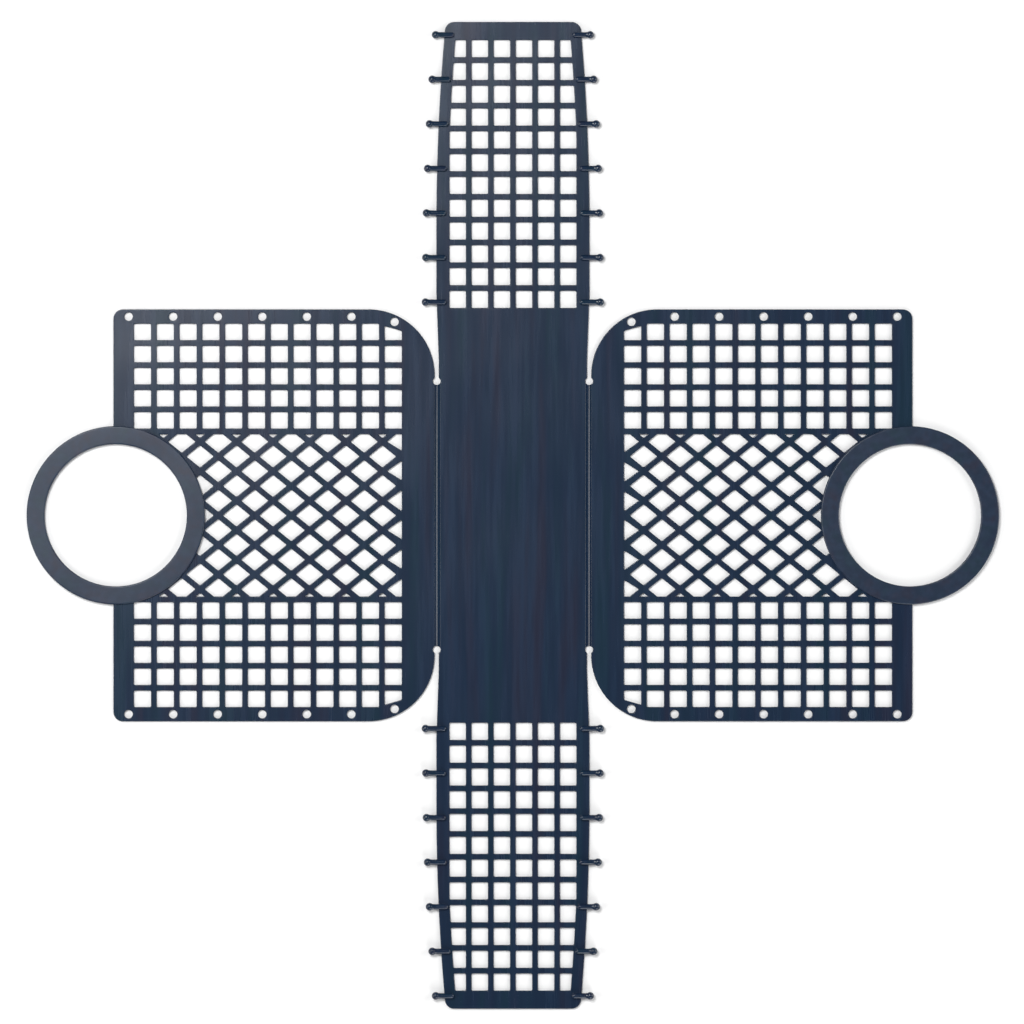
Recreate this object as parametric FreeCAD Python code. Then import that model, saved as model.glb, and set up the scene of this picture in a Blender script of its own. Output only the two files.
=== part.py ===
"""Button-up net carrier bag, moulded in one piece and laid out flat.

Frame: +X across the two faces, +Y along the gussets, +Z up, the way it folds.
The underside of the base lies on z = 0. All lengths in millimetres.
"""
import FreeCAD
import Part
import math
import os

# ---- driving dimensions -------------------------------------------------
SHEET = 2.5          # thickness of the moulded sheet
PITCH = 22.8         # net pitch from base towards mouth, on faces and gussets
CROSS = 22.1         # net pitch across, on faces and gussets
BAR = 5.8            # width of every net bar
ROWS = 12            # net openings from base towards mouth
GUSSET_COLS = 6      # net openings across a gusset
FACE_COLS = 5        # square openings each side of a face's middle field

BASE_HALF_L = 142.1  # base plate, centre to the first bend
BEND_PLATES = 3      # solid bend links, before the one with the first net row
BEND_LINK = 21.8     # length of each
RIM = 13.2           # edge rim of a gusset at its widest
RIM_MIN = 11.3       # edge rim of a gusset where it tapers
WAIST = 2.4          # how much narrower the base is than the gusset, each side
FLARE_FROM = 13.0    # the gusset starts to widen, beyond the base plate
FLARE_TO = 8.0       # it reaches full width, short of the strap
BARREL_AT = 59.3     # it starts to narrow again, beyond the strap's start
BARREL_DROP = 8.4    # how far the gusset edge draws in at the mouth
GUSSET_END = 18.2    # solid bar across the gusset's mouth end

GROOVE = 3.2         # half width of the fold groove
SLIT = 4.0           # gap between base end and face corner
SLIT_HOLE_R = 3.8    # round end of that gap
SLIT_BACK = 7.8      # centre of that round end, back from the first bend
FOLD_GAP = 0.4       # gusset edge to the face it stands against, folded
PIVOT_RISE = 0.8     # fold axis above the top surface
WEB_BOTTOM, WEB_TOP = 1.1, 2.0   # the thin web left in the groove
CREASE_R = 1.5       # hollow crease in the web, round the fold axis

BAND = 35.0          # fold axis to the first net opening
MOUTH_RAIL = 20.6    # last net opening to the mouth edge
SIDE_RAIL = 14.4     # net to the face's side edge
CORNER_R = 66.0      # face corner beside the fold
CORNER_RIM = 11.8    # rim left along that corner
END_R = 9.5          # small outer corners of faces and gussets
OPENING_R = 1.0      # corner radius of a net opening

DIAMOND_ROWS = 5.5   # diamonds across the middle field
DIAMOND_LONG = 1.6   # diamond pitch towards the mouth, in net pitches
DIAMOND_SET = 1.15   # first diamond's middle, beyond the band
RING_LAP = 8.071     # ring's outer edge, past the middle field on each side
RING_W, RING_T = 18.2, 5.0       # width and thickness of the ring
RING_SET = 2.5       # ring centre, back from the mouth edge
RING_SOFT, RING_UNDER = 1.4, 0.8   # its rounded edges, above and below

PEGS = 7             # pegs along each gusset edge
BALL_R, SHAFT_R = 3.9, 2.8
BALL_LIFT = 0.1      # a ball's underside, above the sheet's
PEG_ROOT = 5.65      # first peg, beyond the start of the gusset's net
PEG_LAST = 13.1      # last peg, back from the gusset's end
PEG_INSIDE = 8.0     # shaft length lying on the rim
REACH, REACH_EXTRA = 12.6, 2.4   # ball tip beyond the edge, and more at the root
HOLE_CLEAR = 0.3     # radial room for a ball in its hole
HOLE_EDGE = 7.2      # hole centre to the face's side edge

# ---- sizes that follow --------------------------------------------------
GUSSET_HALF_W = GUSSET_COLS / 2 * CROSS - BAR / 2 + RIM
BASE_HALF_W = GUSSET_HALF_W - WAIST
NET_HALF_W = GUSSET_HALF_W - RIM
X_FOLD = GUSSET_HALF_W - FOLD_GAP
Z_FOLD = SHEET + PIVOT_RISE

LINKS = [BEND_LINK] * BEND_PLATES + [PITCH]
BEND_AT = [BASE_HALF_L + sum(LINKS[:i]) for i in range(len(LINKS) + 1)]
NET_START, STRAP_START = BEND_AT[-2], BEND_AT[-1]
NET_END = NET_START + ROWS * PITCH - BAR
GUSSET_TIP = NET_END + GUSSET_END

NET_X = X_FOLD + BAND
MOUTH_X = NET_X + ROWS * PITCH - BAR + MOUTH_RAIL
RING_X = MOUTH_X - RING_SET
PEG_Z = BALL_LIFT + BALL_R
HOLE_R = BALL_R + HOLE_CLEAR
BEND_STEP = math.radians(90 / len(BEND_AT))


def folded(s, z):
    """Where a gusset point at distance s and height z comes to when folded up."""
    y, height, k = BASE_HALF_L, SHEET, 0
    while k < len(LINKS) and s > BEND_AT[k + 1]:
        y += LINKS[k] * math.cos((k + 1) * BEND_STEP)
        height += LINKS[k] * math.sin((k + 1) * BEND_STEP)
        k += 1
    turn = (k + 1) * BEND_STEP
    along, above = s - BEND_AT[k], z - SHEET
    return (y + along * math.cos(turn) - above * math.sin(turn),
            height + along * math.sin(turn) + above * math.cos(turn))


PEG_S = [NET_START + PEG_ROOT
         + (GUSSET_TIP - PEG_LAST - NET_START - PEG_ROOT) * i / (PEGS - 1) for i in range(PEGS)]
HOLES = [(X_FOLD + folded(s, PEG_Z)[1] - Z_FOLD, folded(s, PEG_Z)[0]) for s in PEG_S]

FACE_HALF = HOLES[-1][1] + HOLE_EDGE
NET_Y = FACE_HALF - SIDE_RAIL
FIELD_HALF = NET_Y - FACE_COLS * CROSS
DIAMOND_X, DIAMOND_Y = DIAMOND_LONG * PITCH, 2 * FIELD_HALF / DIAMOND_ROWS
RING_OUT = round(FIELD_HALF + RING_LAP, 3)
RING_IN = RING_OUT - RING_W


# ---- small builders -----------------------------------------------------
def box(x0, x1, y0, y1, z0=0.0, z1=SHEET):
    return Part.makeBox(x1 - x0, y1 - y0, z1 - z0, FreeCAD.Vector(x0, y0, z0))


def drum(x, y, r, z0=-1.0, z1=SHEET + 1.0):
    return Part.makeCylinder(r, z1 - z0, FreeCAD.Vector(x, y, z0))


def slab(edges, z0=0.0, z1=SHEET):
    """Solid between z0 and z1 over a closed chain of edges drawn at z = 0."""
    wire = Part.Wire(Part.__sortEdges__(edges))
    solid = Part.Face(wire).extrude(FreeCAD.Vector(0, 0, z1 - z0))
    return solid.translated(FreeCAD.Vector(0, 0, z0))


def line(a, b):
    return Part.makeLine(FreeCAD.Vector(a[0], a[1], 0), FreeCAD.Vector(b[0], b[1], 0))


def arc(a, m, b):
    return Part.Arc(*[FreeCAD.Vector(p[0], p[1], 0) for p in (a, m, b)]).toShape()


def rounded(solid, radius, pick):
    """Fillet the upright edges that pick(x, y) names."""
    edges = [e for e in solid.Edges if len(e.Vertexes) == 2
             and abs(e.Vertexes[0].X - e.Vertexes[1].X) < 1e-6
             and abs(e.Vertexes[0].Y - e.Vertexes[1].Y) < 1e-6
             and pick(e.Vertexes[0].X, e.Vertexes[0].Y)]
    return solid.makeFillet(radius, edges)


def square_opening(x0, x1, y0, y1):
    return rounded(box(x0, x1, y0, y1, -1.0, SHEET + 1.0), OPENING_R, lambda x, y: True)


def diamond_opening(x, y, a, b):
    points = [(x + a, y), (x, y + b), (x - a, y), (x, y - b)]
    edges = [line(points[i], points[(i + 1) % 4]) for i in range(4)]
    return rounded(slab(edges, -1.0, SHEET + 1.0), OPENING_R, lambda px, py: True)


def flip_x(shape):
    return shape.mirror(FreeCAD.Vector(0, 0, 0), FreeCAD.Vector(1, 0, 0))


def flip_y(shape):
    return shape.mirror(FreeCAD.Vector(0, 0, 0), FreeCAD.Vector(0, 1, 0))


def largest(shape):
    """The biggest solid, and the loose crumbs that a cut left beside it."""
    solids = sorted(shape.Solids, key=lambda s: -s.Volume)
    return solids[0], solids[1:]


def save(node, *shapes):
    """Write one node, its pieces kept as separate solids."""
    solids = [s for shape in shapes for s in shape.Solids]
    (solids[0] if len(solids) == 1 else Part.makeCompound(solids)).exportStep(
        "parts/" + node + ".step")


os.makedirs("parts", exist_ok=True)

# ---- base plate, its two fold webs --------------------------------------
base = box(-BASE_HALF_W, BASE_HALF_W, -BASE_HALF_L, BASE_HALF_L)
slit_x, slit_y = X_FOLD, BASE_HALF_L - SLIT_BACK
for side in (-1, 1):
    inner, outer = sorted((side * (X_FOLD - GROOVE), side * (X_FOLD + GROOVE)))
    base = base.cut(box(inner, outer, -slit_y, slit_y, -1.0, SHEET + 1.0))
    for end in (-1, 1):
        base = base.cut(drum(side * slit_x, end * slit_y, SLIT_HOLE_R))
save("base_plate", base)

web = box(X_FOLD - GROOVE, X_FOLD + GROOVE, -slit_y, slit_y, WEB_BOTTOM, WEB_TOP)
web = web.cut(Part.makeCylinder(CREASE_R, 4 * BASE_HALF_L,
                                FreeCAD.Vector(X_FOLD, -2 * BASE_HALF_L, Z_FOLD),
                                FreeCAD.Vector(0, 1, 0)))
for end in (-1, 1):
    web = web.cut(drum(slit_x, end * slit_y, SLIT_HOLE_R))
save("right_fold_web", web)
save("left_fold_web", flip_x(web))

# ---- one face panel, laid out towards +X --------------------------------
edge_x = BASE_HALF_W + SLIT
plate = rounded(box(edge_x, MOUTH_X, -FACE_HALF, FACE_HALF), CORNER_R,
                lambda x, y: x < X_FOLD + BAND)
plate = rounded(plate, END_R, lambda x, y: x > MOUTH_X - 1 and abs(y) > FACE_HALF - 1)
plate = plate.cut(box(edge_x - 1, X_FOLD + GROOVE, -slit_y, slit_y, -1.0, SHEET + 1.0))
for end in (-1, 1):
    plate = plate.cut(drum(slit_x, end * slit_y, SLIT_HOLE_R))
ring_room = drum(RING_X, 0, RING_OUT)

band = plate.common(box(edge_x, NET_X, -FACE_HALF, FACE_HALF))

# the net field of one half, drawn in by the rim along the big corner
corner = (edge_x + CORNER_R, FACE_HALF - CORNER_R)
net_mouth = MOUTH_X - MOUTH_RAIL
field = box(NET_X, net_mouth, FIELD_HALF + BAR, NET_Y)
rim_cut = box(NET_X, corner[0], corner[1], NET_Y).cut(
    drum(corner[0], corner[1], CORNER_R - CORNER_RIM))
field = field.cut(rim_cut)

rail = plate.common(box(NET_X, MOUTH_X, FIELD_HALF + BAR, FACE_HALF)).cut(
    box(NET_X, MOUTH_X, FIELD_HALF + BAR, NET_Y).cut(rim_cut))
for x, y in HOLES:
    rail = rail.cut(drum(x, y, HOLE_R))
    field = field.cut(drum(x, y, HOLE_R))

mouth_rail = box(net_mouth, MOUTH_X, FIELD_HALF + BAR, NET_Y).cut(ring_room)

openings = [square_opening(NET_X + PITCH * i, NET_X + PITCH * (i + 1) - BAR,
                           NET_Y - CROSS * (j + 1) + BAR, NET_Y - CROSS * j)
            for i in range(ROWS) for j in range(FACE_COLS)]
net, crumbs = largest(field.cut(Part.makeCompound(openings)).cut(ring_room))

divider = box(NET_X, net_mouth, FIELD_HALF, FIELD_HALF + BAR).cut(ring_room)
hosts = [rail, mouth_rail, divider]
for crumb in crumbs:
    for i in range(len(hosts)):
        joined = hosts[i].fuse(crumb)
        if len(joined.Solids) == 1:
            hosts[i] = joined
            break
rail, mouth_rail, divider = hosts

# the diamond field: rhombic openings, every bar the same width as the nets'
half_x, half_y = DIAMOND_X / 2, DIAMOND_Y / 2
draw_in = 1 - BAR / 2 * math.hypot(half_x, half_y) / (half_x * half_y)
diamonds = []
for i in range(int((RING_X - NET_X) / half_x) + 2):
    x = NET_X + DIAMOND_SET + half_x * i
    rows = int(FIELD_HALF / half_y) + 2
    diamonds += [diamond_opening(x, half_y * j, half_x * draw_in, half_y * draw_in)
                 for j in range(-rows, rows + 1) if (i + j) % 2 == 1]
lattice = box(NET_X, RING_X, -FIELD_HALF, FIELD_HALF).cut(ring_room)
lattice = lattice.cut(Part.makeCompound(diamonds))

ring = drum(RING_X, 0, RING_OUT, 0, RING_T).cut(drum(RING_X, 0, RING_IN, -1, RING_T + 1))
ring = ring.makeFillet(RING_SOFT, [e for e in ring.Edges if e.Closed and e.Vertexes[0].Z > SHEET])
ring = ring.makeFillet(RING_UNDER, [e for e in ring.Edges if e.Closed and e.Vertexes[0].Z < 0.01])

for face, turn in (("right", lambda s: s), ("left", flip_x)):
    save(face + "_base_band", turn(band))
    save(face + "_diamond_net", turn(lattice))
    save(face + "_ring_handle", turn(ring))
    for end, over in (("back", lambda s: s), ("front", flip_y)):
        save(face + "_side_rail_" + end, turn(over(rail)))
        save(face + "_mouth_rail_" + end, turn(over(mouth_rail)))
        save(face + "_net_" + end, turn(over(net)))
        save(face + "_divider_" + end, turn(over(divider)))

# ---- one gusset, laid out towards +Y ------------------------------------
BARREL_FROM = STRAP_START + BARREL_AT
BARREL_R = ((GUSSET_TIP - END_R - BARREL_FROM) ** 2 + BARREL_DROP ** 2) / (2 * BARREL_DROP)


def edge_at(s):
    """Half width of a gusset at distance s from the middle of the base."""
    start, end = BASE_HALF_L + FLARE_FROM, STRAP_START - FLARE_TO
    if s <= end:
        return BASE_HALF_W + WAIST * max(0.0, s - start) / (end - start)
    drop = max(0.0, s - BARREL_FROM)
    return GUSSET_HALF_W - BARREL_R + math.sqrt(BARREL_R ** 2 - drop ** 2)


def gusset(inset):
    """The gusset's plan, its edge drawn in by inset, as a solid sheet."""
    straight = [(edge_at(s) - inset, s) for s in
                (BASE_HALF_L, BASE_HALF_L + FLARE_FROM, STRAP_START - FLARE_TO, BARREL_FROM)]
    stop = GUSSET_TIP - END_R
    middle, last = [(edge_at(s) - inset, s) for s in ((BARREL_FROM + stop) / 2, stop)]
    r = END_R
    bend = (last[0] - r + r * math.sqrt(0.5), stop + r * math.sqrt(0.5))
    half = [line(straight[i], straight[i + 1]) for i in range(3)]
    half += [arc(straight[3], middle, last), arc(last, bend, (last[0] - r, stop + r))]
    other = [e.mirror(FreeCAD.Vector(0, 0, 0), FreeCAD.Vector(1, 0, 0)) for e in half]
    ends = [line((-straight[0][0], BASE_HALF_L), straight[0]),
            line((-last[0] + r, stop + r), (last[0] - r, stop + r))]
    return slab(half + other + ends)


def across(s0, s1, half=2 * GUSSET_HALF_W):
    return box(-half, half, s0, s1)


whole = gusset(0.0)
inner = gusset(RIM_MIN).common(across(BASE_HALF_L, GUSSET_TIP, NET_HALF_W))
columns = [(BAR / 2 + CROSS * (i - GUSSET_COLS / 2), CROSS * (i + 1 - GUSSET_COLS / 2) - BAR / 2)
           for i in range(GUSSET_COLS)]
holes = Part.makeCompound([
    square_opening(x0, x1, NET_START + PITCH * j, NET_START + PITCH * (j + 1) - BAR)
    for x0, x1 in columns for j in range(ROWS)]).common(inner)

plates = [whole.common(across(BEND_AT[i], BEND_AT[i + 1])) for i in range(BEND_PLATES)]
bend_net = whole.common(across(NET_START, STRAP_START)).cut(holes)
strap = across(STRAP_START, NET_END)
strap_net, crumbs = largest(inner.common(strap).cut(holes))
rims = whole.common(strap).cut(inner).fuse(crumbs)
rim_right = rims.common(box(0, 2 * GUSSET_HALF_W, STRAP_START, NET_END))
mouth_bar = whole.common(across(NET_END, GUSSET_TIP))


def peg(i):
    """A round shaft lying half sunk in the rim, with a ball at its tip."""
    s = PEG_S[i]
    tip = edge_at(s) + REACH + REACH_EXTRA * (1 - i / (PEGS - 1)) ** 2
    inside, centre = edge_at(s) - PEG_INSIDE + SHAFT_R, tip - BALL_R
    shaft = Part.makeCylinder(SHAFT_R, centre - inside, FreeCAD.Vector(inside, s, PEG_Z),
                              FreeCAD.Vector(1, 0, 0))
    shaft = shaft.fuse(Part.makeSphere(SHAFT_R, FreeCAD.Vector(inside, s, PEG_Z)))
    whole_peg = shaft.fuse(Part.makeSphere(BALL_R, FreeCAD.Vector(centre, s, PEG_Z)))
    return whole_peg.removeSplitter().cut(whole)


pegs = [peg(i) for i in range(PEGS)]
for end, turn in (("back", lambda s: s), ("front", flip_y)):
    for i, link in enumerate(plates):
        save("%s_bend_plate_%d" % (end, i + 1), turn(link))
    save(end + "_bend_net", turn(bend_net))
    save(end + "_root_pegs", turn(pegs[0]), turn(flip_x(pegs[0])))
    save(end + "_gusset_net", turn(strap_net))
    save(end + "_gusset_rim_right", turn(rim_right))
    save(end + "_gusset_rim_left", turn(flip_x(rim_right)))
    save(end + "_gusset_mouth_bar", turn(mouth_bar))
    save(end + "_pegs_right", *[turn(p) for p in pegs[1:]])
    save(end + "_pegs_left", *[turn(flip_x(p)) for p in pegs[1:]])
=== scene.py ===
"""Fold-up net carrier bag, moulded in one piece and laid out flat before it is buttoned up."""
import math

import bmesh
import bpy
from mathutils import Matrix, Vector


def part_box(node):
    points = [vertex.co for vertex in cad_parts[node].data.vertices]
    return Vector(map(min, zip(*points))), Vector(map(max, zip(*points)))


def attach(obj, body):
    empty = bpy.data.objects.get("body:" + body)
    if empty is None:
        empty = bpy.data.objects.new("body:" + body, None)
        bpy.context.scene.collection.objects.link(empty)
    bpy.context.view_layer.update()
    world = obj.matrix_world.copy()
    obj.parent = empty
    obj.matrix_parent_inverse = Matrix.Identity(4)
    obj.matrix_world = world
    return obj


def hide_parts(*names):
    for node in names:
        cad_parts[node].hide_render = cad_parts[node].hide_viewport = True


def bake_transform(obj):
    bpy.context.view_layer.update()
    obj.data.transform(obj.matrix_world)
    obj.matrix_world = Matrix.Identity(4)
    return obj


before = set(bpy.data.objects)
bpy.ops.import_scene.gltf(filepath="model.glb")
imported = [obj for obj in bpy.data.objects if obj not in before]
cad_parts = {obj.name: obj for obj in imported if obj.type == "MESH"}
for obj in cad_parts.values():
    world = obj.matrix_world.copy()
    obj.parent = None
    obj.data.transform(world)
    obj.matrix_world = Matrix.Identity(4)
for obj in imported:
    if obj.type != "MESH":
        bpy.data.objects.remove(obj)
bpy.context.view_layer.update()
MM = 0.001

# ---- Base plate ---------------------------------------------------------------
# The plain middle of the bag, which becomes its floor: a solid sheet of satin
# polyethylene, shot in the same mould as everything round it, its edges rounded
# by the mould. It ends a little short of the first bend of each gusset.
plate_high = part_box("base_plate")[1]
web_low, web_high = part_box("right_fold_web")
SHEET = plate_high.z
GROOVE = web_low.x                # where the thin web of a fold starts
FIRST_BEND = plate_high.y
BEND_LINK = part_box("back_bend_plate_1")[1].y - FIRST_BEND
PLATE_END = FIRST_BEND - BEND_LINK / 2
RIM = 0.7 * MM                    # radius of every moulded edge
RIM_STEPS = 3
TINY = 1e-6                       # places closer than this are the same
SMOOTH_BELOW = math.radians(40)   # edges flatter than this are shaded smooth
NAVY = (0.0066, 0.0180, 0.0430, 1)
PLUM = (0.0130, 0.0170, 0.0380, 1)   # tints of the swirls in the plastic
TEAL = (0.0050, 0.0225, 0.0410, 1)
STREAKED = tuple(c * 1.9 for c in NAVY[:3]) + (1,)   # paler along the flow lines
RUBBED = (0.045, 0.055, 0.075, 1)    # where handling has dulled it


def only(*parts):
    """Leave these parts selected and nothing else, the first of them active."""
    bpy.ops.object.select_all(action="DESELECT")
    for part in parts:
        part.select_set(True)
    bpy.context.view_layer.objects.active = parts[0]


def named(name):
    """Name the primitive just added, move its place into its mesh and start to edit it."""
    part = bpy.context.active_object
    part.name = part.data.name = name
    only(part)
    bpy.ops.object.transform_apply(location=True, rotation=True, scale=True)
    bpy.ops.object.mode_set(mode="EDIT")
    return part


def block(name, low, high):
    """A box between two corners, ready to shape."""
    bpy.ops.object.select_all(action="DESELECT")
    low, high = Vector(low), Vector(high)
    bpy.ops.mesh.primitive_cube_add(size=1, location=(low + high) / 2)
    bpy.context.active_object.scale = high - low
    return named(name)


def choose(part, kind, test):
    """Select the faces, edges or vertices whose middle, or corners, pass a test."""
    bpy.ops.mesh.select_mode(type=kind)
    bpy.ops.mesh.select_all(action="DESELECT")
    shape = bmesh.from_edit_mesh(part.data)
    for item in {"VERT": shape.verts, "EDGE": shape.edges, "FACE": shape.faces}[kind]:
        spots = [item.co] if kind == "VERT" else [v.co for v in item.verts]
        if test(sum(spots, Vector()) / len(spots), spots):
            item.select_set(True)
    shape.select_flush_mode()
    bmesh.update_edit_mesh(part.data)


def level(spots):
    """True for an edge or face that lies flat in the sheet's top or bottom."""
    return (max(s.z for s in spots) - min(s.z for s in spots) < TINY
            and min(abs(spots[0].z - SHEET), abs(spots[0].z)) < TINY)


def soften(part, radius, steps, test):
    """Round the edges that pass a test."""
    choose(part, "EDGE", test)
    bpy.ops.mesh.bevel(offset=radius, segments=steps, affect="EDGES", clamp_overlap=False)


def changed(part, kind, **settings):
    """Add a modifier to a part and apply it."""
    if bpy.context.mode != "OBJECT":
        bpy.ops.object.mode_set(mode="OBJECT")
    modifier = part.modifiers.new(kind, kind)
    for key, value in settings.items():
        setattr(modifier, key, value)
    only(part)
    bpy.ops.object.modifier_apply(modifier=modifier.name)
    return part


def finished(part):
    """Close a part's shading: curved rims smooth, flats flat."""
    if bpy.context.mode != "OBJECT":
        bpy.ops.object.mode_set(mode="OBJECT")
    only(part)
    bpy.ops.object.shade_smooth_by_angle(angle=SMOOTH_BELOW)
    return changed(part, "WEIGHTED_NORMAL", mode="FACE_AREA", weight=90, keep_sharp=True)


class Shade:
    """A socket of a material's nodes, so that sums on it are written as plain expressions."""

    def __init__(self, tree, socket=None):
        self.tree, self.socket = tree, socket

    def node(self, kind, settings, sockets, out=0):
        """Add a node: its settings first, then the values or links of its sockets."""
        made = self.tree.nodes.new(kind)
        for key, value in settings.items():
            setattr(made, key, value)
        for key, value in sockets.items():
            if isinstance(value, Shade):
                self.tree.links.new(value.socket, made.inputs[key])
            else:
                made.inputs[key].default_value = value
        return Shade(self.tree, made.outputs[out])

    def sum(self, operation, first, second):
        """A Math node on two numbers."""
        return self.node("ShaderNodeMath", {"operation": operation}, {0: first, 1: second})

    def __add__(self, other):
        return self.sum("ADD", self, other)

    def __mul__(self, other):
        return self.sum("MULTIPLY", self, other)

    __radd__, __rmul__ = __add__, __mul__

    def grain(self, place, scale, detail=2.0, rough=0.5):
        """Noise at a place, from 0 to 1."""
        return self.node("ShaderNodeTexNoise", {}, {
            "Vector": place, "Scale": scale, "Detail": detail, "Roughness": rough})

    def ramp(self, low, high):
        """0 below low, 1 above high, and smooth in between."""
        return self.node("ShaderNodeMapRange", {"interpolation_type": "SMOOTHSTEP"}, {
            "Value": self, "From Min": low, "From Max": high})

    def mixed(self, amount, first, second):
        """The first colour where amount is 0, the second where it is 1."""
        return self.node("ShaderNodeMix", {"data_type": "RGBA"}, {
            0: amount, 6: first, 7: second}, out=2)


def navy_plastic(name, roughness, stretch, sheen=1.0):
    """Navy polyethylene: swirls and streaks drawn out along the melt's run, the mould's
    fine eroded skin, slow waves where it shrank, and light rubbing from handling."""
    material = bpy.data.materials.new(name)
    material.use_nodes = True
    tree = material.node_tree
    shader = tree.nodes["Principled BSDF"]
    pen = Shade(tree)
    here = pen.node("ShaderNodeTexCoord", {}, {}, out=3)
    run = pen.node("ShaderNodeMapping", {}, {"Vector": here, "Scale": stretch})
    streak = pen.grain(run, 150, 3.0, 0.6)
    swirl = pen.grain(run, 55, 2.0, 0.55)
    skin = pen.grain(here, 2600, 2.0, 0.7)
    wave = pen.grain(here, 9, 1.0, 0.4)
    rub = pen.grain(here, 420, 6.0, 0.75).ramp(0.62, 0.80) * pen.grain(here, 14).ramp(0.45, 0.65)
    body = pen.mixed(swirl.ramp(0.50, 0.72), NAVY, PLUM)
    body = pen.mixed(swirl.ramp(0.52, 0.30) * 0.8, body, TEAL)
    body = pen.mixed(streak.ramp(0.35, 0.75) * 0.30, body, STREAKED)
    body = pen.mixed(rub * 0.25, body, RUBBED)
    dull = streak.ramp(0.3, 0.7) * 0.035 + rub * 0.14 + wave * 0.06 + (roughness - 0.05)
    relief = skin * 0.012 + wave * 4.0 + streak * 0.014
    tree.links.new(body.socket, shader.inputs["Base Color"])
    tree.links.new(dull.socket, shader.inputs["Roughness"])
    bump = pen.node("ShaderNodeBump", {}, {"Height": relief, "Strength": 0.35, "Distance": MM})
    tree.links.new(bump.socket, shader.inputs["Normal"])
    shader.inputs["IOR"].default_value = 1.5
    shader.inputs["Specular IOR Level"].default_value = 0.5 * sheen
    return material


def dressed(part, material):
    """Give a finished part its material."""
    part.data.materials.clear()
    part.data.materials.append(material)
    return part


sheet_plastic = navy_plastic("satin_navy_sheet", 0.27, (1.0, 0.06, 1.0))
base = block("base", (-GROOVE, -PLATE_END, 0), (GROOVE, PLATE_END, SHEET))
soften(base, RIM, RIM_STEPS, lambda mid, spots: abs(mid.y) < TINY and level(spots))
finished(base)
dressed(base, sheet_plastic)
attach(base, "base")
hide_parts("base_plate")

# ---- Gusset ends --------------------------------------------------------------
# A square net strap beyond each end of the base, moulded with it. Its solid root
# curls up when the bag is buttoned, so it is made here in short lengths, and the
# strap beyond them stays straight.
strap_low, strap_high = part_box("back_gusset_net")
BASE_EDGE = plate_high.x
STRAP_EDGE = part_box("back_bend_net")[1].x
BENDS = [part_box("back_bend_plate_1")[0].y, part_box("back_bend_plate_2")[0].y,
         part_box("back_bend_plate_3")[0].y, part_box("back_bend_net")[0].y, strap_low.y]
NET_START = BENDS[3]
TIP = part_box("back_gusset_mouth_bar")[1].y
FLARE_FROM = FIRST_BEND + 13 * MM  # the root widens from here
FLARE_TO = BENDS[4] - 8 * MM       # and is as wide as the strap from here
PITCH = BENDS[4] - BENDS[3]       # net pitch along the strap
CROSS = 22.1 * MM                 # net pitch across it
BAR = 5.8 * MM                    # width of a net bar
ROWS = 12
NET_HALF = strap_high.x
RIM_LEFT = 11.3 * MM              # rim that stays beside the net where the strap tapers
BARREL_FROM = BENDS[4] + 59.3 * MM  # its sides run in from here, each on one long arc
BARREL_DROP = 8.4 * MM            # how much narrower each side is where the end round starts
BARREL_STEPS = 16
END_ROUND = 9.5 * MM
SLIT_HOLE = 3.8 * MM              # round hole that stops the slit beside the base
SLIT_BACK = 7.8 * MM              # how far that hole lies short of the first bend
SLIT_STEP = 0.1 * MM              # the base widens into the root within this of its middle
SLIT_AT = Vector(((web_low.x + web_high.x) / 2, FIRST_BEND - SLIT_BACK, 0))
SHORT = 3 * MM                    # sides of an opening shorter than this are closed up
CORNER_RUNS = ((60, 140, 1.8 * MM), (0, 60, 3.0 * MM))   # angles in degrees, and their rounding
OVER = 0.8 * MM                   # how far a plug spreads at the sheet's surface
PLUG_ABOVE = 0.5 * MM             # how far a plug stands out of the sheet
PLUG_NECK = 0.48 * MM             # its straight part there
PLUG_STEPS = ((0.45, 0.114), (0.256, 0.256), (0.094, 0.35))   # in and down, in mm: a quarter round
PLUG_DEEP = 0.70 * MM             # how far down that round reaches
BEND_ROWS = 10                    # rows of faces along each bending length
barrel_run = TIP - END_ROUND - BARREL_FROM
barrel_round = (barrel_run ** 2 + BARREL_DROP ** 2) / (2 * BARREL_DROP)


def strap_edge(y):
    """Half width of the strap and its root at a distance from the base's middle."""
    if y < SLIT_AT.y:
        return GROOVE
    flare = (y - FLARE_FROM) / (FLARE_TO - FLARE_FROM)
    width = BASE_EDGE + (STRAP_EDGE - BASE_EDGE) * min(1.0, max(0.0, flare))
    past = max(0.0, y - BARREL_FROM)
    return width - barrel_round + math.sqrt(barrel_round ** 2 - past ** 2)


def cut(part, place, across, test=None, **how):
    """Cut the faces that pass a test, or all of them, along a plane."""
    if test:
        choose(part, "FACE", test)
    else:
        bpy.ops.mesh.select_mode(type="FACE")
        bpy.ops.mesh.select_all(action="SELECT")
    bpy.ops.mesh.bisect(plane_co=place, plane_no=across, threshold=TINY, **how)


def flat(name, x0, x1, y0, y1):
    """A thin flat face, ready to be divided into openings."""
    bpy.ops.object.select_all(action="DESELECT")
    bpy.ops.mesh.primitive_plane_add(size=1, location=((x0 + x1) / 2, (y0 + y1) / 2, 0))
    bpy.context.active_object.scale = (x1 - x0, y1 - y0, 1)
    return named(name)


def corners(part, low, high):
    """Select the corners of separate flat faces whose angle, in degrees, is in a range."""
    bpy.ops.mesh.select_all(action="DESELECT")
    shape = bmesh.from_edit_mesh(part.data)
    for v in shape.verts:
        v.select_set(low <= math.degrees(v.link_loops[0].calc_angle()) < high)
    bmesh.update_edit_mesh(part.data)


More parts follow.
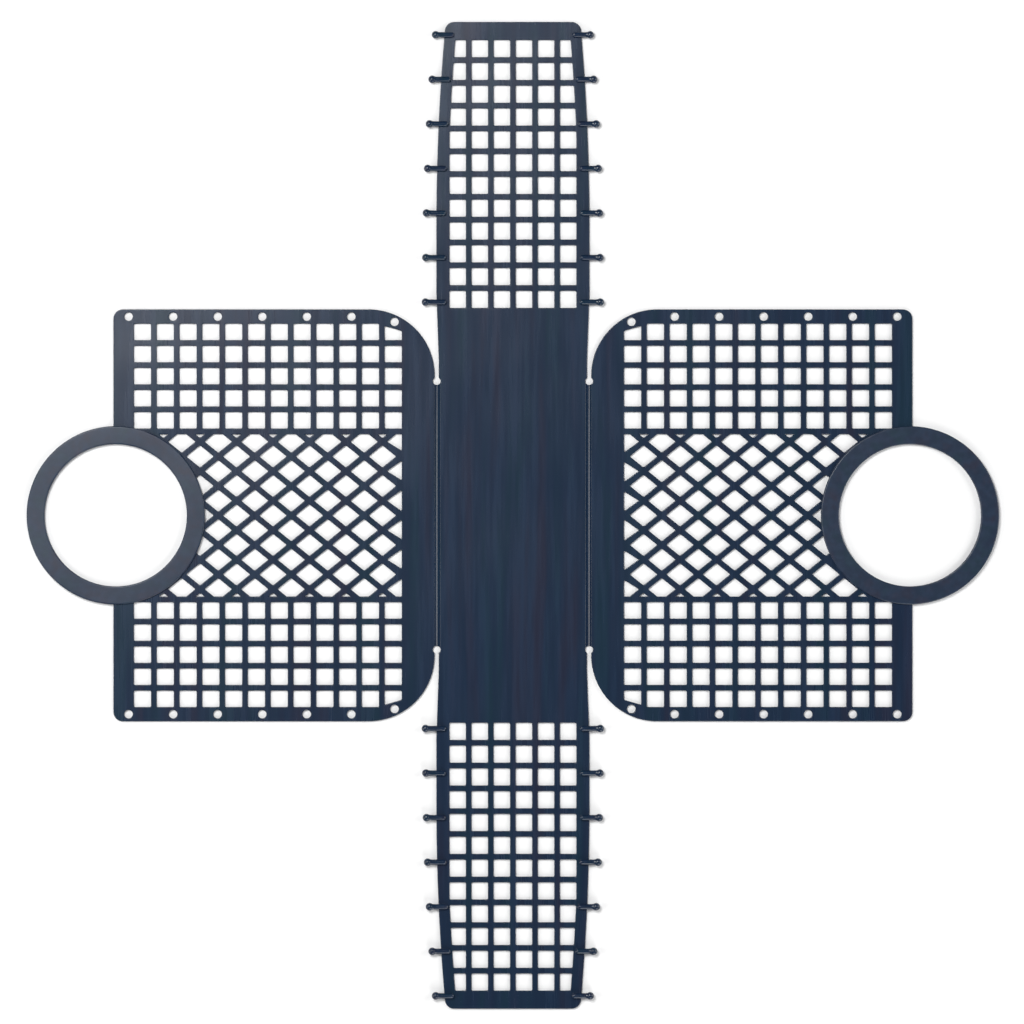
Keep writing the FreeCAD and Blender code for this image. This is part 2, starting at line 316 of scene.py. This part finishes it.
def keep_openings(part, is_bar):
    """Clear away the bars, then round the corners of what is left, the sharpest ones more."""
    choose(part, "FACE", lambda mid, spots: is_bar(mid))
    bpy.ops.mesh.delete(type="FACE")
    bpy.ops.mesh.select_mode(type="VERT")
    bpy.ops.mesh.select_all(action="SELECT")
    bpy.ops.mesh.remove_doubles(threshold=SHORT)
    for low, high, run in CORNER_RUNS:
        corners(part, low, high)
        bpy.ops.mesh.bevel(offset=run, segments=3, affect="VERTICES", clamp_overlap=False)


def add_rounds(radius, places):
    """Add round openings beside the others, as more flat faces."""
    for x, y in places:
        bpy.ops.mesh.primitive_circle_add(
            vertices=32, radius=radius + OVER, fill_type="NGON", location=(x, y, 0))


def plugs(part):
    """Raise flat openings into closed plugs that are narrow in the sheet's middle and
    spread at its surfaces, so that what they cut has rounded rims."""
    bpy.ops.mesh.select_mode(type="FACE")
    bpy.ops.mesh.select_all(action="SELECT")
    top = SHEET / 2
    bpy.ops.transform.translate(value=(0, 0, top + PLUG_ABOVE))
    bpy.ops.mesh.extrude_region_move(TRANSFORM_OT_translate={"value": (0, 0, -PLUG_NECK)})
    for inward, down in PLUG_STEPS:
        bpy.ops.mesh.inset(thickness=inward * MM, use_individual=True)
        bpy.ops.transform.translate(value=(0, 0, -down * MM))
    bpy.ops.mesh.extrude_region_move(TRANSFORM_OT_translate={"value": (0, 0, PLUG_DEEP - top)})
    bpy.ops.mesh.delete(type="FACE")
    changed(part, "MIRROR", use_axis=(False, False, True), merge_threshold=TINY)
    bpy.ops.object.mode_set(mode="EDIT")
    bpy.ops.mesh.select_all(action="SELECT")
    bpy.ops.transform.translate(value=(0, 0, top))
    bpy.ops.mesh.normals_make_consistent(inside=False)
    bpy.ops.object.mode_set(mode="OBJECT")
    return part


def carve(part, tool):
    """Cut a part with a tool, which is then thrown away."""
    changed(part, "BOOLEAN", object=tool, operation="DIFFERENCE", solver="EXACT")
    bpy.data.objects.remove(tool)
    return part


def in_bar(place, start, pitch, gap):
    """True where a net's bars run: gap wide openings every pitch from start."""
    return (place - start) % pitch > gap


tool = flat("strap_openings", -NET_HALF - OVER, NET_HALF + OVER,
            NET_START - OVER, NET_START + ROWS * PITCH - BAR + OVER)
for row in range(1, ROWS):
    for edge in (-BAR + OVER, -OVER):
        cut(tool, (0, NET_START + row * PITCH + edge, 0), (0, 1, 0))
for column in range(-2, 3):
    for edge in (-BAR / 2 + OVER, BAR / 2 - OVER):
        cut(tool, (column * CROSS + edge, 0, 0), (1, 0, 0))
choose(tool, "VERT", lambda mid, spots: abs(mid.x) > NET_HALF)
shape = bmesh.from_edit_mesh(tool.data)
for corner in [v for v in shape.verts if v.select]:
    side = min(NET_HALF, strap_edge(corner.co.y) - RIM_LEFT) + OVER
    corner.co.x = math.copysign(side, corner.co.x)
bmesh.update_edit_mesh(tool.data)
keep_openings(tool, lambda mid: in_bar(mid.y, NET_START - OVER, PITCH, PITCH - BAR + 2 * OVER)
              or in_bar(mid.x, BAR / 2 - OVER - 4 * CROSS, CROSS, CROSS - BAR + 2 * OVER))
add_rounds(SLIT_HOLE, [(side * SLIT_AT.x, SLIT_AT.y) for side in (-1, 1)])
plugs(tool)

end = flat("back_end", -STRAP_EDGE, STRAP_EDGE, PLATE_END, TIP)
rows = [SLIT_AT.y - SLIT_STEP, SLIT_AT.y + SLIT_STEP, FLARE_FROM, FLARE_TO]
rows += [BARREL_FROM + barrel_run * i / BARREL_STEPS for i in range(BARREL_STEPS + 1)]
for y in rows:
    cut(end, (0, y, 0), (0, 1, 0))
bpy.ops.object.mode_set(mode="OBJECT")
for v in end.data.vertices:
    v.co.x = math.copysign(strap_edge(min(v.co.y, TIP - END_ROUND)), v.co.x)
bpy.ops.object.mode_set(mode="EDIT")
choose(end, "VERT", lambda mid, spots: mid.y > TIP - 10 * TINY)
just_short = 0.995 * END_ROUND    # so that the round ends before the row that it runs to
bpy.ops.mesh.bevel(offset=just_short, segments=8, affect="VERTICES", clamp_overlap=False)
changed(end, "SOLIDIFY", thickness=SHEET, offset=1.0)
bpy.ops.object.mode_set(mode="EDIT")
bpy.ops.mesh.select_all(action="SELECT")
bpy.ops.mesh.normals_make_consistent(inside=False)


def on_strap_outline(mid, spots):
    """The strap's own edges: not its joint with the base, nor the rows across its face."""
    if not level(spots) or mid.y < PLATE_END + TINY:
        return False
    return mid.y > TIP - 10 * TINY or abs(mid.x) > MM


soften(end, RIM, RIM_STEPS, on_strap_outline)
carve(end, tool)

HALVES = [PLATE_END] + [(BENDS[i] + BENDS[i + 1]) / 2 for i in range(4)]
HALVES += [BENDS[4] + (BENDS[4] - HALVES[4])]
CHAIN = ["base", "{}_bend_1", "{}_bend_2", "{}_bend_3", "{}_bend_4", "{}_gusset"]


def copied(part, name, turn=False):
    """A copy with its own mesh, turned half round the upright axis if it goes opposite."""
    twin = bpy.data.objects.new(name, part.data.copy())
    bpy.context.scene.collection.objects.link(twin)
    if turn:
        twin.data.transform(Matrix.Rotation(math.pi, 4, "Z"))
    return twin


lengths = []
for i in range(6):
    piece = copied(end, "length_%d" % i)
    only(piece)
    bpy.ops.object.mode_set(mode="EDIT")
    if i < 5:
        cut(piece, (0, HALVES[i + 1], 0), (0, 1, 0), clear_outer=True, use_fill=True)
    if i > 0:
        cut(piece, (0, HALVES[i], 0), (0, -1, 0), clear_outer=True, use_fill=True)
    if i < 5:
        bpy.ops.mesh.select_all(action="SELECT")
        bpy.ops.mesh.quads_convert_to_tris()
        for step in range(1, BEND_ROWS):
            y = HALVES[i] + (HALVES[i + 1] - HALVES[i]) * step / BEND_ROWS
            cut(piece, (0, y, 0), (0, 1, 0))
    finished(piece)
    lengths.append(dressed(piece, sheet_plastic))
bpy.data.objects.remove(end)

STANDS_FOR = [["bend_plate_1"], ["bend_plate_1", "bend_plate_2"], ["bend_plate_2", "bend_plate_3"],
              ["bend_plate_3", "bend_net"], ["bend_net", "gusset_net"],
              ["gusset_net", "gusset_rim_left", "gusset_rim_right", "gusset_mouth_bar"]]
for side, way in (("back", 1), ("front", -1)):
    for i, length in enumerate(lengths):
        name = side + ("_root_%d" % (i + 1) if i < 5 else "_strap")
        piece = copied(length, name, turn=way < 0)
        if i < 5:
            pair = [body.format(side) for body in CHAIN[i:i + 2]]
            way * HALVES[i + 1]
            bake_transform(piece)
        else:
            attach(piece, side + "_gusset")
        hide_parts(*[side + "_" + n for n in STANDS_FOR[i]])
for length in lengths:
    bpy.data.objects.remove(length)

# ---- Pegs ---------------------------------------------------------------------
# Ball-ended pegs along both edges of each strap, moulded lying on its rim and
# sticking out past it. They push through the holes of the faces and hold there.
peg_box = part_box("back_root_pegs")
BALL = (peg_box[1].z - peg_box[0].z) / 2
SHAFT = 2.8 * MM                  # radius of the straight part
NECK_FROM = 0.62 * BALL           # where the neck leaves the ball
NECK = ((0.95, 1.02), (1.15, 1.0))  # its place in ball radii, and its radius in shaft radii
PEG_ROOT = 9.8 * MM               # how far a shaft runs in over the rim
PEG_REACH = 12.6 * MM             # how far a ball's end is past the strap's edge
PEG_MORE = 2.4 * MM               # and how much further the first peg's is
PEG_Z = peg_box[0].z + BALL
PEG_FROM, PEG_SHORT = 5.65 * MM, 13.1 * MM   # first and last peg from the net and the mouth
PEG_SPAN = TIP - PEG_SHORT - NET_START - PEG_FROM
PEG_AT = [NET_START + PEG_FROM + PEG_SPAN * i / 6 for i in range(7)]


def peg(name, inner, tip):
    """One peg along +X: a ball, a soft neck, a straight shaft and its rounded inner end."""
    middle = tip - BALL
    bpy.ops.object.select_all(action="DESELECT")
    bpy.ops.mesh.primitive_uv_sphere_add(segments=28, ring_count=18, radius=BALL,
                                         rotation=(0, math.pi / 2, 0))
    part = named(name)
    choose(part, "FACE", lambda mid, spots: mid.x < -NECK_FROM)
    bpy.ops.mesh.delete(type="FACE")
    opening = min((v.co.copy() for v in bmesh.from_edit_mesh(part.data).verts),
                  key=lambda co: co.x)
    choose(part, "VERT", lambda mid, spots: mid.x < opening.x + TINY)
    run = inner - middle
    steps = [(-BALL * back, SHAFT * share) for back, share in NECK]
    steps += [(run + SHAFT - SHAFT * math.sin(a), SHAFT * math.cos(a))
              for a in (0.0, 0.35, 0.7, 1.05, 1.35)]
    at, wide = opening.x, math.hypot(*opening.yz)
    for x, radius in steps:
        bpy.ops.mesh.extrude_region_move(TRANSFORM_OT_translate={"value": (x - at, 0, 0)})
        bpy.ops.transform.resize(value=(1, radius / wide, radius / wide),
                                 center_override=(x, 0, 0))
        at, wide = x, radius
    bpy.ops.mesh.edge_face_add()
    bpy.ops.mesh.select_all(action="SELECT")
    bpy.ops.mesh.normals_make_consistent(inside=False)
    bpy.ops.transform.translate(value=(middle, 0, PEG_Z))
    return finished(part)


peg_plastic = navy_plastic("glossy_navy_pegs", 0.16, (1.0, 1.0, 1.0))
for side, way in (("back", 1), ("front", -1)):
    for i, y in enumerate(PEG_AT):
        reach = strap_edge(y) + PEG_REACH + PEG_MORE * (1 - i / 6) ** 2
        for hand in ("right", "left"):
            piece = peg("%s_peg_%s_%d" % (side, hand, i + 1), strap_edge(y) - PEG_ROOT, reach)
            move = Matrix.Translation((0, way * y, 0))
            if hand == "left":
                move = move @ Matrix.Rotation(math.pi, 4, "Z")
            piece.data.transform(move)
            dressed(piece, peg_plastic)
            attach(piece, side + ("_gusset" if i else "_bend_4"))
            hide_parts(side + ("_pegs_" + hand if i else "_root_pegs"))

# ---- Faces --------------------------------------------------------------------
# The two large sides of the bag: a solid band at the fold, square nets at both
# ends, a diamond net in the middle, and a solid rail round them that carries the
# peg holes. Each is one sheet, moulded in the same shot as the base.
band_low, band_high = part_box("right_base_band")
rail_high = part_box("right_side_rail_back")[1]
ring_low, ring_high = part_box("right_ring_handle")
FACE_EDGE, NET_X, MOUTH_X = band_low.x, band_high.x, rail_high.x
FACE_HALF = rail_high.y
NET_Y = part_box("right_net_back")[1].y
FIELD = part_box("right_divider_back")[0].y   # half the width of the diamond net
RING_X = (ring_low.x + ring_high.x) / 2
RING_MIDDLE = Vector((RING_X, 0))
RING_OUT = (ring_high.x - ring_low.x) / 2
RING_IN = 71 * MM
RING_LAP = 0.6 * MM               # how far the face runs in under the ring
RING_CLEAR = 6 * MM               # no opening's middle is further in under the ring
THROUGH = 20 * MM                 # length of a cutter that goes right through
CORNER = 66 * MM                  # round corner beside the fold
TRIM_AT = (118.0 * MM, 186.4 * MM)  # the first opening is trimmed beside that corner
TRIM_TURN = math.radians(106)     # the way that the trimmed side looks
PEG_HOLE = 4.2 * MM
FIRST_HOLE = (118.424 * MM, 193.603 * MM)    # the hole for a peg of the strap's root
HOLE_FROM, HOLE_TO, HOLE_Y = 161.663 * MM, 384.371 * MM, 198.829 * MM   # the six others
DIAMOND = Vector((0.8 * PITCH, FIELD / 5.5))  # half a diamond, towards the mouth and across
DIAMOND_X = NET_X + 1.15 * MM
net_length = ROWS * PITCH - BAR


def from_middle(spot):
    """How far a place is from the middle of the ring."""
    return (spot.xy - RING_MIDDLE).length


def lattice(mid):
    """How far a place is from the diamond net's bars, along both of their directions."""
    along, across = (mid.x - DIAMOND_X) / DIAMOND.x, mid.y / DIAMOND.y
    return [abs((value + 1) % 2 - 1) for value in (along + across, along - across)]


bar_share = (BAR / 2 - OVER) * DIAMOND.length / (DIAMOND.x * DIAMOND.y)
tools = []
for way in (1, -1):
    tool = flat("square_openings", NET_X - OVER, NET_X + net_length + OVER,
                *sorted((way * (NET_Y + OVER), way * (FIELD + BAR - OVER))))
    for row in range(1, ROWS):
        for edge in (-BAR + OVER, -OVER):
            cut(tool, (NET_X + row * PITCH + edge, 0, 0), (1, 0, 0))
    for column in range(1, 5):
        for edge in (OVER, BAR - OVER):
            cut(tool, (0, way * (NET_Y - column * CROSS + edge), 0), (0, 1, 0))
    out = Vector((math.cos(TRIM_TURN), way * math.sin(TRIM_TURN), 0))
    cut(tool, Vector((TRIM_AT[0], way * TRIM_AT[1], 0)) + out * OVER, out,
        lambda mid, spots: mid.x < NET_X + PITCH - BAR and abs(mid.y) > NET_Y - CROSS + BAR,
        clear_outer=True)
    keep_openings(tool, lambda mid: in_bar(mid.x, NET_X - OVER, PITCH, PITCH - BAR + 2 * OVER)
                  or in_bar(NET_Y - abs(mid.y), -OVER, CROSS, CROSS - BAR + 2 * OVER))
    bpy.ops.object.mode_set(mode="OBJECT")
    tools.append(tool)

tool = flat("diamond_openings", NET_X - OVER, RING_X, -FIELD - OVER, FIELD + OVER)
for turn in (1, -1):
    across = Vector((DIAMOND.y, turn * DIAMOND.x, 0)).normalized()
    for k in range(-3, 12):
        for edge in (-bar_share, bar_share):
            cut(tool, (DIAMOND_X + (2 * k + edge) * DIAMOND.x, 0, 0), across)
choose(tool, "VERT", lambda mid, spots: mid.x < DIAMOND_X + MM)
bpy.ops.transform.resize(value=(0, 1, 1), center_override=(NET_X - OVER, 0, 0))
keep_openings(tool, lambda mid: min(lattice(mid)) < bar_share
              or from_middle(mid) < RING_OUT - RING_CLEAR)
bpy.ops.object.mode_set(mode="OBJECT")
only(tool, *tools)
bpy.ops.object.join()
bpy.ops.object.mode_set(mode="EDIT")
plugs(tool)
rounds = flat("round_openings", 0, MM, 0, MM)
bpy.ops.mesh.delete(type="VERT")
hole_step = (HOLE_TO - HOLE_FROM) / 5
holes = [FIRST_HOLE] + [(HOLE_FROM + hole_step * i, HOLE_Y) for i in range(6)]
add_rounds(PEG_HOLE, [(x, way * y) for x, y in holes for way in (1, -1)])
add_rounds(SLIT_HOLE, [(SLIT_AT.x, way * SLIT_AT.y) for way in (1, -1)])
plugs(rounds)

face = block("face", (FACE_EDGE, -FACE_HALF, 0), (MOUTH_X, FACE_HALF, SHEET))
for x, radius, steps in ((FACE_EDGE, CORNER, 40), (MOUTH_X, END_ROUND, 10)):
    soften(face, radius, steps, lambda mid, spots: abs(mid.x - x) < TINY
           and abs(abs(mid.y) - FACE_HALF) < TINY and abs(spots[0].z - spots[1].z) > MM)
soften(face, RIM, RIM_STEPS, lambda mid, spots: level(spots))
carve(face, tool)
carve(face, rounds)
bpy.ops.object.select_all(action="DESELECT")
bpy.ops.mesh.primitive_cylinder_add(vertices=256, radius=RING_OUT - RING_LAP, depth=THROUGH,
                                    location=(RING_X, 0, 0))
seat = named("ring_seat")
bpy.ops.object.mode_set(mode="OBJECT")
carve(face, seat)
finished(face)
dressed(face, sheet_plastic)

for hand, turn in (("right", False), ("left", True)):
    piece = copied(face, hand + "_face", turn=turn)
    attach(piece, hand + "_panel")
    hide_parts(hand + "_base_band", hand + "_diamond_net",
                *["%s_%s_%s" % (hand, n, s) for n in ("side_rail", "mouth_rail", "net", "divider")
                  for s in ("back", "front")])
bpy.data.objects.remove(face)

# ---- Fold webs ----------------------------------------------------------------
# The thin web left in the groove between the base and a face, with a bead along
# its middle: the sheet is so thin there that the face folds up on it.
WEB_LAP = 0.3 * MM                # how far the web runs into the base and the face
WEB_UNDER, WEB_TOP = 1.0 * MM, 1.4 * MM
WEB_ROWS = 20
BEAD_AT = SLIT_AT.x - 0.1 * MM    # a touch to the base's side of the web's middle
BEAD_HALF, BEAD_SLOPE = 0.9 * MM, 0.62
web_from, web_to = GROOVE - WEB_LAP, FACE_EDGE + WEB_LAP
web = block("web", (web_from, -SLIT_AT.y, WEB_UNDER), (web_to, SLIT_AT.y, WEB_TOP))
for step in range(1, WEB_ROWS):
    cut(web, (web_from + (web_to - web_from) * step / WEB_ROWS, 0, 0), (1, 0, 0))
bpy.ops.object.mode_set(mode="OBJECT")
for v in web.data.vertices:
    if v.co.z > (WEB_UNDER + WEB_TOP) / 2:
        v.co.z += max(0, BEAD_HALF - abs(v.co.x - BEAD_AT)) * BEAD_SLOPE
bpy.ops.object.select_all(action="DESELECT")
bpy.ops.mesh.primitive_cylinder_add(vertices=48, radius=SLIT_HOLE, depth=THROUGH,
                                    location=(SLIT_AT.x, SLIT_AT.y, 0))
tool = named("slit_ends")
bpy.ops.mesh.primitive_cylinder_add(vertices=48, radius=SLIT_HOLE, depth=THROUGH,
                                    location=(SLIT_AT.x, -SLIT_AT.y, 0))
bpy.ops.object.mode_set(mode="OBJECT")
carve(web, tool)
finished(web)
dressed(web, navy_plastic("glossy_navy_webs", 0.14, (1.0, 0.06, 1.0)))
for hand, way in (("right", 1), ("left", -1)):
    piece = copied(web, hand + "_web", turn=way < 0)
    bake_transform(piece)
    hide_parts(hand + "_fold_web")
bpy.data.objects.remove(web)

# ---- Ring handles -------------------------------------------------------------
# A thick ring in the middle of each face's mouth edge, half of it beyond the
# edge, moulded on with the net: the hand goes through it.
TOP_ROUND, FOOT_ROUND = 1.4 * MM, 0.8 * MM   # of the ring's edges
NEAR = 0.1 * MM
ring_plastic = navy_plastic("satin_navy_ring", 0.39, (1.0, 1.0, 1.0), sheen=1.15)
bpy.ops.object.select_all(action="DESELECT")
bpy.ops.mesh.primitive_cylinder_add(vertices=192, radius=RING_OUT, depth=ring_high.z,
                                    location=(RING_X, 0, ring_high.z / 2))
ring = named("ring")
choose(ring, "FACE", lambda mid, spots: len(spots) > 4)
bpy.ops.mesh.inset(thickness=RING_OUT - RING_IN, use_individual=True)
bpy.ops.mesh.bridge_edge_loops()
for z, radius in ((ring_high.z, TOP_ROUND), (0, FOOT_ROUND)):
    soften(ring, radius, 5, lambda mid, spots: max(abs(s.z - z) for s in spots) < TINY
           and abs(from_middle(spots[0]) - from_middle(spots[1])) < NEAR
           and min(abs(from_middle(spots[0]) - edge) for edge in (RING_IN, RING_OUT)) < 2 * NEAR)
bpy.ops.mesh.select_all(action="SELECT")
bpy.ops.mesh.normals_make_consistent(inside=False)
finished(ring)
dressed(ring, ring_plastic)
for hand, turn in (("right", False), ("left", True)):
    piece = copied(ring, hand + "_ring", turn=turn)
    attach(piece, hand + "_panel")
    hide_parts(hand + "_ring_handle")
bpy.data.objects.remove(ring)

# ---- Studio -------------------------------------------------------------------
# A white floor under the bag, wide soft lights round it with the brightest at the
# back left, and a camera high above with a long lens.
bpy.ops.object.select_all(action="DESELECT")
bpy.ops.mesh.primitive_plane_add(size=12)
floor = bpy.context.active_object
floor.name = "floor"
white = bpy.data.materials.new("white_floor")
white.use_nodes = True
paint = white.node_tree.nodes["Principled BSDF"].inputs
paint["Base Color"].default_value = (0.94, 0.94, 0.94, 1)
paint["Roughness"].default_value = 0.9
floor.data.materials.append(white)


def softbox(name, place, size, power):
    """A square light that looks at the bag's middle."""
    light = bpy.data.lights.new(name, "AREA")
    light.shape, light.size, light.energy = "SQUARE", size, power
    lamp = bpy.data.objects.new(name, light)
    bpy.context.scene.collection.objects.link(lamp)
    lamp.location = place
    lamp.rotation_euler = (-Vector(place)).to_track_quat("-Z", "Y").to_euler()


softbox("key", (-1.0, 1.15, 2.8), 1.2, 76)
softbox("left", (-2.5, -0.6, 1.2), 1.6, 29)
softbox("right", (2.6, 0.2, 1.1), 1.8, 39)
softbox("near", (0.8, -2.6, 1.1), 1.8, 39)
world = bpy.data.worlds.new("studio")
world.use_nodes = True
glow = world.node_tree.nodes["Background"].inputs
glow["Color"].default_value = (1, 1, 1, 1)
glow["Strength"].default_value = 0.08
bpy.context.scene.world = world
bpy.context.scene.view_settings.view_transform = "Standard"

LENS, SENSOR = 200.0, 36.0
VIEW_ACROSS = 1.024               # how much the view takes in at the sheet's top, in metres
VIEW_MIDDLE = (-0.9 * MM, 3.35 * MM)
lens = bpy.data.cameras.new("camera")
lens.lens, lens.sensor_width = LENS, SENSOR
lens.clip_end = 50
camera = bpy.data.objects.new("camera", lens)
bpy.context.scene.collection.objects.link(camera)
camera.location = (*VIEW_MIDDLE, SHEET + VIEW_ACROSS * LENS / SENSOR)
bpy.context.scene.camera = camera

bpy.context.view_layer.update()
